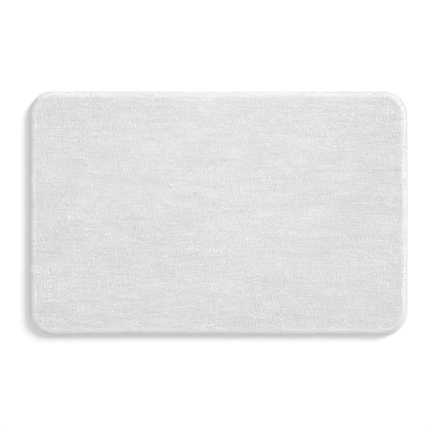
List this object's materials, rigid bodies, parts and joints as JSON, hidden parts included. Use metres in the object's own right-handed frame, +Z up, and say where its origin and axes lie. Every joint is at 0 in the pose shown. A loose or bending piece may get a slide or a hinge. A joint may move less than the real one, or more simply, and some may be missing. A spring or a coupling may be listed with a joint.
{
  "type": "bath mat",
  "caption": "Rectangular tufted bath mat with rounded corners, a soft white pile, a narrow bound edge and a moulded non-slip backing.",
  "frame": {"origin": "centre of the underside, on the surface that the mat lies on", "axes": "+X along the mat's length, +Y along its width, +Z up out of the pile"},
  "size_m": [0.85, 0.55, 0.0174],
  "materials": {
    "pile_yarn": "matte",
    "scrim": "matte",
    "adhesive": "matte",
    "grip_rubber": "matte",
    "tape": "matte",
    "seam_thread": "satin",
    "label_satin": "satin"
  },
  "bodies": {
    "root": {"pile": "pile_yarn", "primary_backing": "scrim", "adhesive_coat": "adhesive", "grip_backing": "grip_rubber", "edge_binding": "tape", "needle_thread": "seam_thread", "bobbin_thread": "seam_thread", "care_label": "label_satin", "label_thread": "seam_thread"}
  },
  "joints": []
}
